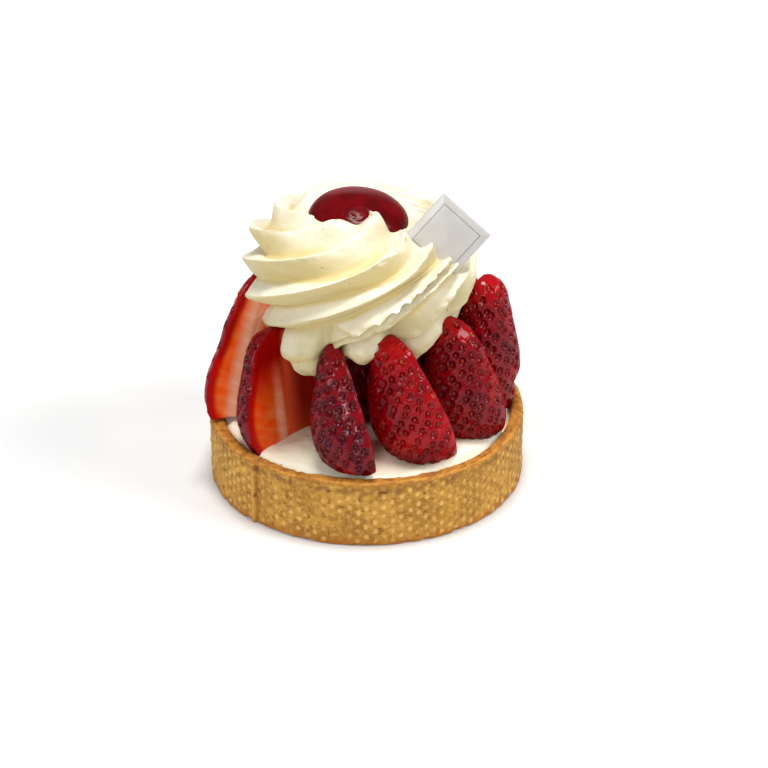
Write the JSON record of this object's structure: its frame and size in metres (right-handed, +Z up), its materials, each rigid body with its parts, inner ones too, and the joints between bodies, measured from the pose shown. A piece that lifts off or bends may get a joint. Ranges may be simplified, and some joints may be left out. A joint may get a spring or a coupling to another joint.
{
  "type": "strawberry tart",
  "caption": "Round shortcrust tart with a cream filling, upright strawberry halves, a piped cream rosette with a gel dome in its nest, and a small square card.",
  "frame": {"origin": "centre of the crust's flat underside", "axes": "+Z up along the axis of the crust, -Y towards the viewer of the picture, +X to the viewer's right"},
  "size_m": [0.0852, 0.0844, 0.0843],
  "materials": {
    "crust": "dry golden-brown baked shortcrust, dotted by a perforated ring",
    "filling_cream": "soft off-white cream",
    "strawberry": "glazed dark-red skin with seeds; orange to pale flesh on the cut face",
    "strawberry_heap": "glazed dark-red berries in shade",
    "whipped_cream": "satin ivory whipped cream with fine vanilla specks",
    "gel": "clear dark-red glossy gel",
    "card": "satin grey-white card, no lettering"
  },
  "bodies": {
    "root": {"crust": "crust", "filling": "filling_cream", "berry_01": "strawberry", "berry_02": "strawberry", "berry_03": "strawberry", "berry_04": "strawberry", "berry_05": "strawberry", "berry_06": "strawberry", "berry_07": "strawberry", "berry_08": "strawberry", "berry_09": "strawberry", "berry_10": "strawberry", "berry_11": "strawberry", "berry_heap": "strawberry_heap", "rosette": "whipped_cream", "gel": "gel", "card": "card"}
  },
  "joints": []
}
